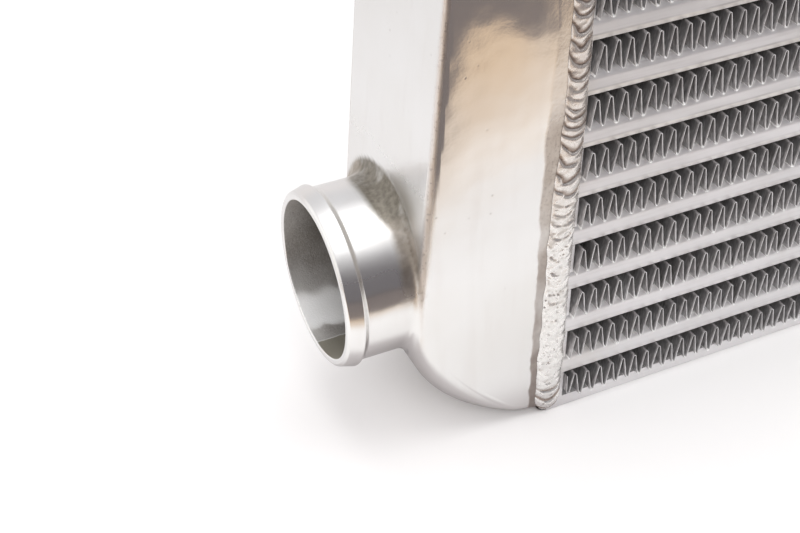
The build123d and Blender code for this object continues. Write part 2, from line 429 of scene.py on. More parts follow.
def bar_material(name, pale, dull, metallic):
    """Milled bars and plates with faint marks along them, and braze low on each charge row."""
    n = Metal(name, metallic)
    (z,) = n.parts("Z")
    streak = n.noise(900, 4, stretch=(0.05, 1, 1))
    cloud = n.noise(70, 3, stretch=(0.4, 1, 1))
    color = n.mix(n.between(cloud, 0.3, 0.7), pale, dull)
    color = n.mix(n.between(streak, 0.45, 0.75, 0.0, 0.25), color, MILL_MARK)
    # height above the bottom of each charge row, kept above zero for the modulo
    level = n.math("MODULO", n.plus(z, 4 * ROW_PITCH - CHARGE_START), ROW_PITCH)
    slow = n.noise(90, 2, stretch=(0.3, 0, 0))
    level = n.plus(level, n.between(slow, 0.2, 0.8, -0.12, 0.12))
    strip = n.times(n.between(level, 1.65, 1.45), n.between(z, 70, 120, 0.25, 1.0))
    line = n.between(n.absolute(n.minus(level, 1.75)), 0.55, 0.1)
    line = n.times(line, n.between(z, 70, 120, 0.1, 0.45))
    line = n.times(line, n.between(n.noise(55, 3, stretch=(1, 0, 0)), 0.35, 0.6))
    color = n.mix(strip, color, BRAZE_PALE)
    color = n.mix(line, color, BRAZE_LINE)
    stain = n.times(n.between(n.noise(34, 4, stretch=(1, 1, 0.6)), 0.56, 0.72), 0.35)
    color = n.mix(stain, color, STAIN)
    height = n.total((streak, 1.0), (cloud, 0.5))
    return n.finish(color, n.between(streak, 0.3, 0.7, 0.34, 0.48), height, BAR_BUMP)


def fin_material():
    """Thin sheet, dull on its faces; painted shade towards the top of each row and a painted
    highlight along its lower folds near the openings.
    """
    n = Metal("fin_sheet")
    y, z = n.parts("YZ")
    lift = n.math("MODULO", n.plus(z, ROW_PITCH - AIR_START), ROW_PITCH)
    near_opening = n.between(n.absolute(y), HALF_DEPTH - 16, HALF_DEPTH - 4)
    fold = n.times(n.between(lift, 1.0, 0.7), near_opening)
    color = n.mix(n.noise(120, 3), *FIN_DULL)
    grain = n.noise(1500, 4, stretch=(1, 1, 0.22))
    color = n.mix(n.between(grain, 0.5, 0.7, 0.0, 0.75), color, FIN_GRAIN)
    color = n.mix(n.between(grain, 0.5, 0.3, 0.0, 0.6), color, FIN_POCK)
    # painted shade: darker towards the top of each row, under the bars
    color = n.mix(n.between(lift, 4.5, 10.0, 0.0, 0.72), color, FIN_PAINTED_SHADE)
    # painted highlight: the lower folds near the openings are bright and less metallic, where
    # light falls on them
    color = n.mix(n.times(fold, 0.9), color, FIN_FOLD_HIGHLIGHT)
    n.link(n.between(fold, 0.0, 1.0, 0.45, 0.1), n.shader["Metallic"])
    rough = n.between(n.noise(600, 3, stretch=(1, 0.2, 1)), 0.3, 0.7, 0.30, 0.42)
    return n.finish(color, rough, n.noise(900, 3, stretch=(1, 0.3, 1)), FIN_BUMP)


def cut_material():
    """Cut edge of the fin sheet."""
    n = Metal("fin_cut", 0.3)
    color = n.mix(n.between(n.noise(260, 3), 0.35, 0.65), *FIN_CUT)
    return n.finish(color, 0.38, n.noise(1200, 2), CUT_BUMP)


CAST = cast_material()
BORE = bore_material()
WELD = weld_material()
BAR = bar_material("bar_milled", (0.87, 0.85, 0.86), (0.83, 0.815, 0.82), 0.5)
# painted light: the parting sheets take the bars' material, made paler and less metallic, so the
# passage floors between the fins read lighter
SHEET = bar_material("sheet_milled", (0.93, 0.915, 0.925), (0.88, 0.865, 0.875), 0.15)
FIN = fin_material()
CUT = cut_material()


# ---------------------------------------------------------------- end tank

# The tank's side view: run is the distance outwards from the end of the core.
TOP = CORE_TOP - TANK_INSET
TOP_RUN = 37.8
LEAN = math.radians(4.3)  # of the end wall
RISE = math.radians(10.2)  # of the underside
SWEEP = 46.0
TOP_CORNER = 20.0
UNDER = np.array([math.sin(RISE), -math.cos(RISE)])
WALL = np.array([math.cos(LEAN), math.sin(LEAN)])
UP = np.array([0.0, 1.0])
EDGE_RADIUS, SWEEP_ROUNDING = 2.8, 7.0
FILLET, FILLET_ABOVE, FILLET_BELOW = 1.6, 4.2, 1.6  # round of the neck's root; what is added
ROOT_REACH, ROOT_ABOVE = 6.2, 3.4  # of the root mask, which carries a painted shade and a rough cast skin, from the wall along the neck
WORN_RUN = MOUTH_RUN - 23.5  # the edges are worn, and carry a painted reflection, up to this run
WALL_THICK = 3.0
BORE_START = 20.0
SIDE_EDGE = 0.8  # round of the neck's sides where they are ground flush with the tank
ROOM_EDGE = 2.0
ROOM_FILLET = 1.2
NECK_CUT = 57.0  # beyond this run the neck is lathed
NECK_TURNS = 288
NECK_ROUNDS, NECK_ARC_STEP = (1.0, 0.7, 0.8, 0.3, 0.5), 0.2
VOXEL = 1.15
FIT_ROUNDS, FIT_STEP = 6, 0.8
NECK_INSET = -9.0  # "inset" on the lathed neck: far from the ridge


def corner_split(d_a, d_b, n_a, n_b, radius):
    """Distance across a rounded corner of two planes, and how far round the corner it is."""
    cosine = n_a @ n_b
    a, b = d_a + radius, d_b + radius
    share_a = (a - cosine * b) / (1 - cosine**2)
    share_b = (b - cosine * a) / (1 - cosine**2)
    inside = (share_a > 0) & (share_b > 0)
    square = share_a**2 + share_b**2 + 2 * share_a * share_b * cosine
    length = np.sqrt(np.maximum(square, 1e-12))
    across = np.clip(share_b / np.maximum(share_a + share_b, 1e-9), 0, 1)
    distance = np.where(inside, length - radius, np.maximum(d_a, d_b))
    return distance, np.where(inside, across, np.where(share_a > share_b, 0.0, 1.0))


def outline_distance(run, z, inset=0.0):
    """Signed distance to the side view, and 0 to 1 from the underside round to the wall."""
    under = run * UNDER[0] + (z - TANK_INSET) * UNDER[1]
    wall = (run - TOP_RUN) * WALL[0] + (z - TOP) * WALL[1]
    low, across = corner_split(under, wall, UNDER, WALL, SWEEP)
    high, _ = corner_split(wall, z - TOP, WALL, UP, TOP_CORNER)
    return np.maximum(low, high) + inset, across


def rounded_meet(a, b, radius):
    """Intersection of two half spaces whose shared edge is rounded."""
    a, b = a + radius, b + radius
    outside = np.hypot(np.maximum(a, 0), np.maximum(b, 0))
    return np.minimum(np.maximum(a, b), 0) + outside - radius


def filled_union(a, b, radius):
    """Union of two bodies with a round fillet between them."""
    u, v = np.maximum(radius - a, 0), np.maximum(radius - b, 0)
    return np.maximum(radius, np.minimum(a, b)) - np.hypot(u, v)


def edge_radius(across):
    """The front and back edges are ground rounder along the sweep."""
    return EDGE_RADIUS + SWEEP_ROUNDING * np.sin(np.pi * across) ** 1.2


def tank_distance(p):
    """Signed distances to the casting and its hollow, and the root mask for a painted shade and a
    rough cast skin.
    """
    run, y, z = p.T
    outline, across = outline_distance(run, z)
    flank = np.abs(y) - HALF_DEPTH
    body = rounded_meet(outline, flank, edge_radius(across))
    radial = np.hypot(y, z - NECK_HEIGHT)
    tube = np.maximum(radial - NECK_RADIUS, run - MOUTH_RUN)
    height = (z - NECK_HEIGHT) / np.maximum(radial, 1e-6)
    fillet = FILLET + FILLET_ABOVE * smooth_step(0.1, 1.0, height)
    fillet += FILLET_BELOW * smooth_step(0.3, 1.0, -height)
    outer = rounded_meet(filled_union(body, tube, fillet), flank, SIDE_EDGE)
    inside, _ = outline_distance(run, z, WALL_THICK)
    room = rounded_meet(inside, flank + WALL_THICK, ROOM_EDGE)
    bore = np.maximum(radial - BORE_RADIUS, BORE_START - run)
    hollow = filled_union(room, bore, ROOM_FILLET)
    # root mask, for a painted shade and a rough cast skin: a few millimetres of the neck beside
    # the wall, most of it on top
    reach = ROOT_REACH + ROOT_ABOVE * smooth_step(0.80, 1.0, height)
    root = smooth_step(0, 1, (reach - outline) / 3.0)
    root *= smooth_step(0, 1, (0.9 * fillet + 0.8 - (radial - NECK_RADIUS)) / 1.3)
    root *= (outline > -2) * smooth_step(0.0, 0.5, height)
    return np.maximum(np.maximum(outer, -hollow), -run), hollow, root


def tank_gradient(p, step=0.02):
    slope = np.empty_like(p)
    for axis in range(3):
        shift = np.zeros(3)
        shift[axis] = step
        slope[:, axis] = tank_distance(p + shift)[0] - tank_distance(p - shift)[0]
    return slope / (2 * step)


def rounded_path(points, radii, arc_step):
    """Polyline whose inner corners are turned into arcs."""
    points = [np.array(p, float) for p in points]
    path = [points[0]]
    for a, b, c, radius in zip(points, points[1:], points[2:], radii):
        u, v = (a - b) / np.linalg.norm(a - b), (c - b) / np.linalg.norm(c - b)
        angle = math.acos(np.clip(u @ v, -1, 1))
        reach = radius / math.tan(angle / 2)
        centre = b + (u + v) / np.linalg.norm(u + v) * radius / math.sin(angle / 2)
        first, last = b + u * reach - centre, b + v * reach - centre
        turn = math.pi - angle
        count = max(3, int(turn * radius / arc_step) + 2)
        for k in range(count):
            t = k / (count - 1)
            arm = math.sin((1 - t) * turn) * first + math.sin(t * turn) * last
            path.append(centre + arm / math.sin(turn))
    path.append(points[-1])
    return path


def neck_profile():
    """Run and radius from the cut on the outside, over bead and lip, to the cut in the bore."""
    corners = [
        (NECK_CUT, NECK_RADIUS),
        (MOUTH_RUN - 6.9, NECK_RADIUS),
        (MOUTH_RUN - 5.2, NECK_RADIUS + 1.4),
        (MOUTH_RUN - 0.7, NECK_RADIUS + 0.15),
        (MOUTH_RUN, NECK_RADIUS - 0.75),
        (MOUTH_RUN, BORE_RADIUS),
        (NECK_CUT, BORE_RADIUS),
    ]
    return np.array(rounded_path(corners, NECK_ROUNDS, NECK_ARC_STEP))


def even_mesh(node):
    """A solid as a mesh of small even faces; its points are given as run, Y and Z."""
    mesh = node.data.copy()
    work = bpy.data.objects.new("tank_work", mesh)
    bpy.context.scene.collection.objects.link(work)
    bm = bmesh.new()
    bm.from_mesh(mesh)
    bmesh.ops.remove_doubles(bm, verts=bm.verts, dist=2e-6)
    bm.to_mesh(mesh)
    bm.free()
    modifier = work.modifiers.new("remesh", "REMESH")
    modifier.mode = "VOXEL"
    modifier.voxel_size = VOXEL * MM
    modifier.adaptivity = 0.0
    graph = bpy.context.evaluated_depsgraph_get()
    made = bpy.data.meshes.new_from_object(work.evaluated_get(graph))
    bpy.data.objects.remove(work)
    p = np.array([v.co for v in made.vertices], float) / MM
    p[:, 0] = -p[:, 0] - CORE_END
    faces = [list(f.vertices) for f in made.polygons]
    bpy.data.meshes.remove(made)
    return p, faces


def cut_neck(p, faces):
    """Remove the end of the neck; the two rings of the cut lie exactly on the tube."""
    bm = bmesh.new()
    verts = [bm.verts.new(q) for q in p]
    for face in faces:
        bm.faces.new([verts[i] for i in face])
    bmesh.ops.bisect_plane(
        bm, geom=bm.verts[:] + bm.edges[:] + bm.faces[:], dist=1e-4,
        plane_co=(NECK_CUT, 0, 0), plane_no=(1, 0, 0), clear_outer=True,
    )
    bm.verts.index_update()
    p = np.array([v.co for v in bm.verts], float)
    faces = [[v.index for v in f.verts] for f in bm.faces]
    bm.free()
    radial = np.hypot(p[:, 1], p[:, 2] - NECK_HEIGHT)
    ring = np.abs(p[:, 0] - NECK_CUT) < 1e-3
    exact = np.where(radial > (NECK_RADIUS + BORE_RADIUS) / 2, NECK_RADIUS, BORE_RADIUS)
    scale = np.where(ring, exact / np.maximum(radial, 1e-6), 1.0)
    p[:, 1] *= scale
    p[:, 2] = NECK_HEIGHT + (p[:, 2] - NECK_HEIGHT) * scale
    return p, faces


def lathed_neck(start):
    """Points, normals, faces and bore mask of the end of the neck."""
    path = neck_profile()
    angle = np.linspace(0, 2 * np.pi, NECK_TURNS, endpoint=False)
    tangent = np.gradient(path, axis=0)
    out = np.stack([-tangent[:, 1], tangent[:, 0]], axis=1)
    out /= np.linalg.norm(out, axis=1)[:, None]

    def rings(profile, height):
        y, z = profile[:, 1:2] * np.sin(angle), profile[:, 1:2] * np.cos(angle)
        x = np.repeat(profile[:, 0], NECK_TURNS)
        return np.stack([x, y.ravel(), height + z.ravel()], axis=1)

    faces = turned(grid_faces(len(path), NECK_TURNS, True, start))
    in_bore = np.repeat(np.arange(len(path)) > len(path) - 4, NECK_TURNS)
    return rings(path, NECK_HEIGHT), rings(out, 0.0), faces, in_bore


def tank_shape():
    """Points, normals, faces, bore mask and the material's masks, as run, Y and Z."""
    p, faces = even_mesh(nodes["end_tank_left"])
    for _ in range(FIT_ROUNDS):
        distance, slope = tank_distance(p)[0], tank_gradient(p)
        slope /= np.maximum((slope * slope).sum(1), 0.25)[:, None]
        p -= np.clip(distance, -FIT_STEP, FIT_STEP)[:, None] * slope
    p, faces = cut_neck(p, faces)
    normals = tank_gradient(p)
    normals /= np.linalg.norm(normals, axis=1)[:, None] + 1e-9

    run, y, z = p.T
    _, hollow, root = tank_distance(p)
    outline, across = outline_distance(run, z)
    facing = np.abs(normals)
    edge = smooth_step(0.15, 0.55, facing[:, 0]) * smooth_step(0.15, 0.55, facing[:, 1])
    edge *= (run < WORN_RUN) * (hollow > 1) * smooth_step(40, 60, z)
    swept = smooth_step(0.0, 0.25, across) * (1 - smooth_step(0.8, 1.0, across))
    swept *= smooth_step(HALF_DEPTH - 4, HALF_DEPTH - 2, np.abs(y))
    masks = {
        "edge": (edge, 0.0),
        "root": (root * (hollow > 1), 0.0),
        "inset": (outline + edge_radius(across), NECK_INSET),
        "swept": (swept, 0.0),
    }
    more, more_normals, more_faces, in_bore = lathed_neck(len(p))
    for word, (values, on_neck) in masks.items():
        masks[word] = np.concatenate([values, np.full(len(more), on_neck)])
    inner = np.concatenate([hollow < 0.15, in_bore])
    points, normals = np.vstack([p, more]), np.vstack([normals, more_normals])
    return points, normals, faces + more_faces, inner, masks


def build_tank(name, node, side, shape):
    """The casting as a fine smooth mesh on the solid's own shape."""
    points, normals, faces, inner, masks = shape
    points, normals = points.copy(), normals.copy()
    points[:, 0] = side * (CORE_END + points[:, 0])
    normals[:, 0] *= side
    facing = []
    for f in faces:
        a, b, c = points[f[0]], points[f[1]], points[f[2]]
        outward = normals[f[0]] + normals[f[1]] + normals[f[2]]
        facing.append(tuple(reversed(f)) if np.cross(b - a, c - a) @ outward < 0 else tuple(f))
    obj = new_object(name, points, facing, CAST, BORE)
    in_bore = [int(all(inner[v] for v in f.vertices)) for f in obj.data.polygons]
    obj.data.polygons.foreach_set("material_index", in_bore)
    for word, values in masks.items():
        set_attribute(obj, word, values)
    obj.data.normals_split_custom_set_from_vertices(normals.tolist())
    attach(obj, "root")
    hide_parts(node)


# ---------------------------------------------------------------- welds

BEAD_ROWS, BEAD_COLUMNS = 600, 29
SEAM_ROWS, SEAM_COLUMNS = 180, 9
SEAM_WIDTH = 3.4
SEAM_RIPPLE = 4.0
RIPPLE_PITCH = 4.3
RIPPLE_RISE = 0.78  # share of each ripple that rises
BEAD_START, BEAD_LOST = 0.8, 1.6  # its lower end, and how much shorter than the core it is
BEAD_OUT, BEAD_IN = 4.7, 5.1  # how far it reaches on to the tank and on to the bars
BEAD_HIGH, BEAD_SUNK = 1.15, 0.15
LOW_ROUND, HIGH_ROUND = 5.0, 4.0  # lengths of its rounded ends


def bead_height(s, t, length, seed):
    """Height of the bead at s along it and t across it, -1 to 1, and how near a crest it is."""
    rough = wave_noise(seed)
    pit = wave_noise(seed + 1, 1.5, 5.0)
    drift = wave_noise(seed + 2, 0.03, 0.2)
    merge = wave_noise(seed + 3, 0.15, 0.5)
    up = s / length
    steady = np.maximum(smooth_step(0.34, 0.50, up), 1 - smooth_step(8, 15, s))
    pitch = RIPPLE_PITCH + 0.25 * drift(s, 0)
    phase = (s - 2.6 * t**2 + 0.9 * drift(s, 5) + 0.5 * rough(s * 0.5, t * 2)) / pitch
    saw = phase - np.floor(phase)
    rise, fall = (saw / RIPPLE_RISE) ** 0.8, (1 - saw) / (1 - RIPPLE_RISE)
    ripple = smooth_step(0, 1, np.where(saw < RIPPLE_RISE, rise, fall))
    dome = np.maximum(1 - np.abs(t) ** 2.4, 0) ** 0.62
    # here and there the upper ripples run into one another
    blend = smooth_step(0.1, 0.7, merge(s, 3 * t)) * (1 - smooth_step(0.62, 0.78, up))
    deep = (steady + (1 - steady) * 0.30) * (1 - 0.6 * blend)
    # the lower part is lumpy and pitted
    holes = smooth_step(0.75, 1.1, pit(s * 1.2, t * 4))
    lumps = (1 - steady) * (0.26 * rough(s * 0.8, t * 3) - 0.55 * holes)
    crest = ripple * deep + (1 - deep) * 0.8 + (1 - steady) * 0.6 * np.minimum(lumps, 0)
    relief = (0.72 * (ripple - 0.6) + 0.10 * rough(s, t * 3)) * deep
    return dome * (BEAD_HIGH + relief + lumps * 0.6), np.clip(crest, 0, 1)


def rounded_end(past):
    """1 inside the bead, falling in a quarter circle as past goes from 0 to 1."""
    return np.sqrt(np.clip(1 - np.clip(past, 0, 1) ** 2, 0.02, 1))


def long_bead(side, face, seed):
    """Front (face -1) or back (face 1) bead of one side."""
    length = CORE_TOP - BEAD_LOST
    s, t = spread(np.linspace(0, length, BEAD_ROWS), np.linspace(-1, 1, BEAD_COLUMNS))
    wander = wave_noise(seed + 7, 0.15, 0.9)
    z = BEAD_START + s
    # its edge on the tank, and its edge on the bars
    outer = CORE_END + BEAD_OUT - 2.5 * smooth_step(80, 125, z) - 1.0 * smooth_step(15, 60, z)
    outer += 0.3 * wander(z, 0)
    inner = CORE_END - BEAD_IN - 0.8 * smooth_step(40, 110, z) + 0.22 * wander(z, 30)
    low_end = rounded_end((LOW_ROUND - s) / LOW_ROUND)
    end = np.minimum(low_end, rounded_end((s - length + HIGH_ROUND) / HIGH_ROUND))
    height, crest = bead_height(s, t, length, seed)
    x = side * ((outer + inner) / 2 + (outer - inner) / 2 * end * t)
    y = face * (HALF_DEPTH - BEAD_SUNK + height * end**0.8)
    return np.stack([x, y, z], axis=2), crest


def cross_seam(side, up):
    """Seam along the tank's top (up 1) or its underside (up -1)."""
    y, t = spread(np.linspace(-HALF_DEPTH, HALF_DEPTH, SEAM_ROWS), np.linspace(0, 1, SEAM_COLUMNS))
    ripple = 0.5 + 0.5 * np.sin((y + 1.2 * (t - 0.5) ** 2) * 2 * np.pi / SEAM_RIPPLE)
    run = SEAM_WIDTH * t
    if up > 0:
        z = CORE_TOP - BEAD_SUNK - 1.05 * t**1.6 + 0.10 * ripple
    else:
        z = 0.25 + 0.85 * t + run * math.tan(RISE) * t - 0.10 * ripple
    return np.stack([side * (CORE_END + run), y, z], axis=2), ripple * 0.5 + 0.4


def build_weld(name, node, side, seed):
    strips = []
    for face, face_seed in ((-1, seed), (1, seed + 20)):
        strips.append((*long_bead(side, face, face_seed), side * face))
    for up in (1, -1):
        strips.append((*cross_seam(side, up), side * up))
    points, faces = np.zeros((0, 3)), []
    for grid, _, direction in strips:
        strip_faces = grid_faces(*grid.shape[:2], start=len(points))
        faces += turned(strip_faces) if direction < 0 else strip_faces
        points = np.vstack([points, grid.reshape(-1, 3)])
    obj = new_object(name, points, faces, WELD)
    set_attribute(obj, "crest", np.concatenate([crest.ravel() for _, crest, _ in strips]))
    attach(obj, "root")
    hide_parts(node)


# ---------------------------------------------------------------- fins

PITCH = 4.78
SHEET_THICK = 0.2
FOLD_RADIUS, FOLD_ARC_STEP = 0.55, 0.30
FOOT_HEIGHT, FOOT_WIDTH = 0.8, 0.28  # of the braze beside each lower fold
FIN_PROUD = 2.4
END_GAP, END_CLEAR = 0.25, 0.05  # between the fins and the closing bars
UPPER_SWAY, LOWER_SWAY = 0.12, 0.15
CURL, LOWEST_CURL = 0.20, 0.30
EDGE_WANDER = 0.12
STATIONS = (0, 1.2, 2.8, 6)  # distances from the cut edges at which the sheet is drawn
# From the closing bar to the first upper fold, by row from the lowest.
FIRST_CREST = {1: 3.23, 2: 2.01, 3: 2.81, 4: 1.95, 5: 1.59, 6: 2.03, 7: 2.07, 8: 2.45}
OTHER_CREST = 2.4  # in the rows that the photograph doesn't show


def fold_corners(row, bottom, top):
    """Corners of the folded centre line, each a little astray."""
    rng = np.random.default_rng(100 + row)
    first = -OPEN_END + FIRST_CREST.get(row, OTHER_CREST)
    corners = []
    for k in range(-1, int((OPEN_END - first) / PITCH) + 2):
        crest = first + k * PITCH
        corners.append((crest + rng.normal(0, UPPER_SWAY), top))
        corners.append((crest + PITCH / 2 + rng.normal(0, LOWER_SWAY), bottom))
    limit = OPEN_END - END_GAP
    kept = [q for q in corners if abs(q[0]) < limit + PITCH * 0.4]
    return [(min(max(x, -limit), limit), z) for x, z in kept]


def folded_line(corners, bottom, top):
    """The centre line with round folds, at full height, with a point wherever a foot ends."""
    path = np.array(rounded_path(corners, [FOLD_RADIUS] * (len(corners) - 2), FOLD_ARC_STEP))
    # rounding the corners lowers them, so the sheet is stretched back to its full height
    high, low = path[4:-4, 1].max(), path[4:-4, 1].min()
    middle = (top + bottom) / 2
    path[:, 1] = middle + (path[:, 1] - (high + low) / 2) * (top - bottom) / (high - low)
    path[:, 1] = np.clip(path[:, 1], bottom, top)
    level = bottom + FOOT_HEIGHT
    dense = [path[0]]
    for a, b in zip(path, path[1:]):
        if (a[1] - level) * (b[1] - level) < 0:
            dense.append(a + (b - a) * (level - a[1]) / (b[1] - a[1]))
        dense.append(b)
    return np.array(dense)


def build_fins(row):
    """One folded sheet with small round folds; its edges wander a little."""
    node = f"air_fins_{row:02d}"
    low, high = box_mm(node)
    # the centre line runs through the middle of the sheet's thickness
    bottom, top = low[2] + SHEET_THICK / 2, high[2] - SHEET_THICK / 2
    corners = fold_corners(row, bottom, top)
    path = folded_line(corners, bottom, top)
    tangent = np.gradient(path, axis=0)
    normal = np.stack([-tangent[:, 1], tangent[:, 0]], axis=1)
    normal /= np.linalg.norm(normal, axis=1)[:, None]
    upper, under = path + normal * SHEET_THICK / 2, path - normal * SHEET_THICK / 2
    # a fillet of braze along both sides of each lower fold
    troughs = np.array([x for x, z in corners if z == bottom])
    off = under[:, 0:1] - troughs[None, :]
    off = off[np.arange(len(off)), np.abs(off).argmin(1)]
    rise = (under[:, 1] - bottom + SHEET_THICK / 2) / FOOT_HEIGHT
    under[:, 0] += np.sign(off) * FOOT_WIDTH * np.clip(1 - rise, 0, 1) ** 1.5

    depth = HALF_DEPTH + FIN_PROUD
    stations = [-depth + d for d in STATIONS] + [0] + [depth - d for d in reversed(STATIONS)]
    bend = wave_noise(300 + row, 0.15, 0.8)
    share = np.clip((path[:, 1] - bottom) / (top - bottom), 0, 1)
    free = 4 * share * (1 - share)
    points = []
    for line in (upper, under):
        for y in stations:
            loose = smooth_step(HALF_DEPTH - 6, depth, abs(y))
            curl = (LOWEST_CURL if row == 1 else CURL) * loose * free
            x = line[:, 0] + curl * bend(path[:, 0] * 0.9, y)
            outward = math.copysign(EDGE_WANDER, y) if abs(y) == depth else 0.0
            edge = y + outward * (bend(path[:, 0] * 1.3, 50 + y) - 1)
            points.append(np.stack([x, edge, line[:, 1]], axis=1))
    n, m = len(path), len(stations)
    faces = turned(grid_faces(m, n)) + grid_faces(m, n, start=m * n)
    back = (m - 1) * n
    for i in range(n - 1):
        faces.append((i, i + 1, m * n + i + 1, m * n + i))
        faces.append((back + i + 1, back + i, m * n + back + i, m * n + back + i + 1))
    p = np.vstack(points)
    p[:, 2] = np.clip(p[:, 2], low[2], high[2])
    p[:, 0] = np.clip(p[:, 0], -OPEN_END + END_CLEAR, OPEN_END - END_CLEAR)
    obj = new_object(f"fins_{row:02d}", p, faces, FIN, CUT)
    is_cut = [abs(q.normal.y) > 0.8 for q in obj.data.polygons]
    obj.data.polygons.foreach_set("use_smooth", [not c for c in is_cut])
    obj.data.polygons.foreach_set("material_index", [int(c) for c in is_cut])
    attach(obj, "root")
    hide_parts(node)


# ---------------------------------------------------------------- charge rows

BAND_ROUND, BAND_FOOT = 2.6, 0.35  # radii of its upper and lower front edges
BAR_DEPTH = 8.0
BAR_STATIONS = 61
BAR_INSET = 0.04  # how far behind their plane the faces lie, and how much they wander


def band_front(z, bottom, top):
    """How far behind the core's front plane the row's face lies at z."""
    rise = np.maximum(z - (top - BAND_ROUND), 0)
    drop = np.maximum(bottom + BAND_FOOT - z, 0)
    upper = BAND_ROUND - np.sqrt(np.maximum(BAND_ROUND**2 - rise**2, 0))
    return upper + BAND_FOOT - np.sqrt(np.maximum(BAND_FOOT**2 - drop**2, 0))


def lengthwise(name, node, sections, material, seed):
    """Long pieces from their Y, Z sections, with faces a few hundredths out of true."""
    wander = wave_noise(seed, 0.05, 0.4)
    stations = np.linspace(-CORE_END, CORE_END, BAR_STATIONS)
    points, faces = [], []
    for section in sections:
        n, start = len(section), len(points)
        for x in stations:
            for y, z in section:
                inset = BAR_INSET + BAR_INSET * wander(x, z)
                points.append((x, y - math.copysign(inset, y), z))
        faces += turned(grid_faces(BAR_STATIONS, n, True, start))
        last = start + (BAR_STATIONS - 1) * n
        faces += [tuple(range(start, start + n)), tuple(reversed(range(last, last + n)))]
    obj = new_object(name, points, faces, material)
    mesh = obj.data
    bm = bmesh.new()
    bm.from_mesh(mesh)
    bmesh.ops.recalc_face_normals(bm, faces=bm.faces)
    bm.to_mesh(mesh)
    bm.free()
    mesh.set_sharp_from_angle(angle=math.radians(32))
    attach(obj, "root")
    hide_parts(node)


def build_band(row):
    """Bars and sheets of one charge row, rounded over together along their upper front edge."""
    low, high = box_mm(f"parting_sheets_{row:02d}")
    bottom, top = low[2], high[2]
    under, over = bottom + PARTING_THICK, top - PARTING_THICK
    bars, sheets = [], []
    for face in (-1, 1):
        heights = [under, *np.linspace(top - BAND_ROUND, over, 8)]
        front = [(face * (HALF_DEPTH - band_front(z, bottom, top)), z) for z in heights]
        inner = face * (HALF_DEPTH - BAR_DEPTH)
        bars.append(front + [(inner, over), (inner, under)])
    for heights in (np.linspace(over, top, 7), np.linspace(bottom, under, 5)):
        front = [(band_front(z, bottom, top) - HALF_DEPTH, z) for z in heights]
        sheets.append(front + [(-y, z) for y, z in reversed(front)])
    for word, node, sections, material, slot in (
        ("bars", "charge_bars", bars, BAR, "bar"),
        ("sheets", "parting_sheets", sheets, SHEET, "sheet"),
    ):
        name = f"{word}_{row:02d}"
        lengthwise(name, f"{node}_{row:02d}", sections, material, 500 + row)


# ---------------------------------------------------------------- stage, in metres

WHITE = (1, 1, 1)
PAPER_SEEN = (0.96, 0.94, 0.93)
PAPER_LIT = (0.89, 0.88, 0.87)
PAPER_SHADED = (0.56, 0.53, 0.53)
PAPER_TAN = (0.62, 0.47, 0.33)
DARK_FLOOR = (0.165, 0.142, 0.135)
# Place along the paper's end, from the dark floor inwards, and its colour there.
PAPER_FADE = (
    (0.24, PAPER_TAN), (0.31, PAPER_TAN), (0.60, (0.65, 0.55, 0.455)),
    (0.80, (0.78, 0.72, 0.66)), (0.95, (0.79, 0.78, 0.775)),
)
FADE_START, FADE_END = -0.300, -0.170
FADE_SLANT, FADE_WAVE = 0.45, 0.03
FLOOR_SIZE, FLOOR_DROP = 6, 0.0002
FLOOR_GLOW = 0.22
FAR_START, FAR_END = 0.45, 1.3
RAG, RAG_START, RAG_END = 0.008, -0.003, 0.009
# Low, high and soft width of the lit strip before the object and the shade under each tank.
LIT_Y = (-0.095, -0.032, 0.05)
SHADE_X, SHADE_Y = (0.14, 0.205, 0.03), (-0.030, 0.03, 0.02)
# The paper's torn edge: X and Y of points along it, and the ranges of both.
TORN_X, TORN_Y = (-0.12, 0.06), (-0.30, -0.17)
TORN = (
    (-0.120, -0.176), (-0.085, -0.210), (-0.064, -0.242), (-0.039, -0.267),
    (-0.0235, -0.277), (-0.013, -0.261), (-0.003, -0.258), (0.005, -0.265),
    (0.014, -0.279), (0.022, -0.291), (0.060, -0.295),
)
SKY = (0.72, 0.72, 0.74)
SKY_LOW = (0.98, 0.92, 0.90)
SKY_LEFT = (1.25, 1.25, 1.25)
DIM_ROOM = (0.18, 0.17, 0.18)
# Parts of the direction between which each of them starts and is complete.
SKY_LOW_Z, SKY_LEFT_X = (0.42, 0.10), (-0.45, -0.75)
DIM_Y, DIM_Z = (-0.25, -0.50), (0.78, 0.64)


def torn_edge(t, x):
    """Y of the paper's torn edge at X."""
    curve = t.add("ShaderNodeFloatCurve")
    points = curve.mapping.curves[0].points
    (x_low, x_high), (y_low, y_high) = TORN_X, TORN_Y
    spots = [((a - x_low) / (x_high - x_low), (b - y_low) / (y_high - y_low)) for a, b in TORN]
    points[0].location, points[-1].location = spots[0], spots[-1]
    for spot in spots[1:-1]:
        points.new(*spot)
    curve.mapping.update()
    t.link(t.straight(x, x_low, x_high), curve.inputs["Value"])
    return t.straight(curve.outputs[0], 0, 1, y_low, y_high)


def paper_color(t, x, y):
    """White paper that turns tan towards its end in front of the object."""
    place = t.math("MULTIPLY_ADD", x, FADE_SLANT, y)
    place = t.math("MULTIPLY_ADD", t.noise(14, 2), FADE_WAVE, place)
    ramp = t.add("ShaderNodeValToRGB")
    t.link(t.straight(place, FADE_START, FADE_END), ramp.inputs[0])
    elements = ramp.color_ramp.elements
    for element, (where, color) in zip(elements, (PAPER_FADE[0], PAPER_FADE[-1])):
        element.position, element.color = where, (*color, 1)
    for where, color in PAPER_FADE[1:-1]:
        elements.new(where).color = (*color, 1)
    return ramp.outputs[0]


